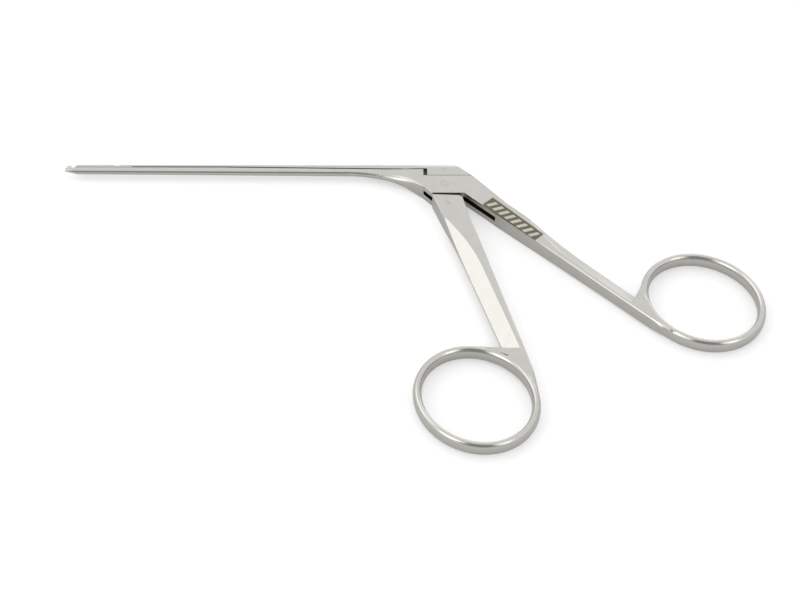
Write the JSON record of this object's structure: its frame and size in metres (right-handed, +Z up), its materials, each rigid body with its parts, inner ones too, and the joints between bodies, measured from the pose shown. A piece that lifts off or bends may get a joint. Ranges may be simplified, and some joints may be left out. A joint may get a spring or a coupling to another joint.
{
  "type": "surgical micro punch",
  "caption": "Sliding-shaft micro punch with finger rings: squeezing the handles pushes a thin cutting slide against the upturned foot of the fixed shaft.",
  "frame": {"origin": "on the axis of the pivot pin, in the plane of the lower flat faces on which the instrument lies", "axes": "+Z up out of the table; the shaft runs along -X to the foot; the handles reach towards -Y"},
  "size_m": [0.1605, 0.0859, 0.0041],
  "materials": {
    "satin_steel": "satin, fine brushed",
    "plate_steel": "fine ground",
    "pin_steel": "ground flush and satin"
  },
  "bodies": {
    "base": {"frame": "satin_steel", "pivot_pin": "pin_steel"},
    "lever": {"lever": "satin_steel", "drive_plate": "plate_steel", "plate_rivet": "pin_steel"},
    "slide": {"slide": "satin_steel", "drive_pin": "pin_steel"}
  },
  "joints": [
    {"name": "lever_swing", "type": "hinge", "parent": "base", "child": "lever", "pos_m": [0, 0, 0], "axis": [0, 0, 1], "range_deg": [0, 10.7]},
    {"name": "slide_travel", "type": "slide", "parent": "base", "child": "slide", "axis": [-1, 0, 0], "range_m": [0, 0.00087]}
  ],
  "couplings": [
    {"joint": "slide_travel", "follows": "lever_swing", "m_per_rad": 0.004653}
  ]
}
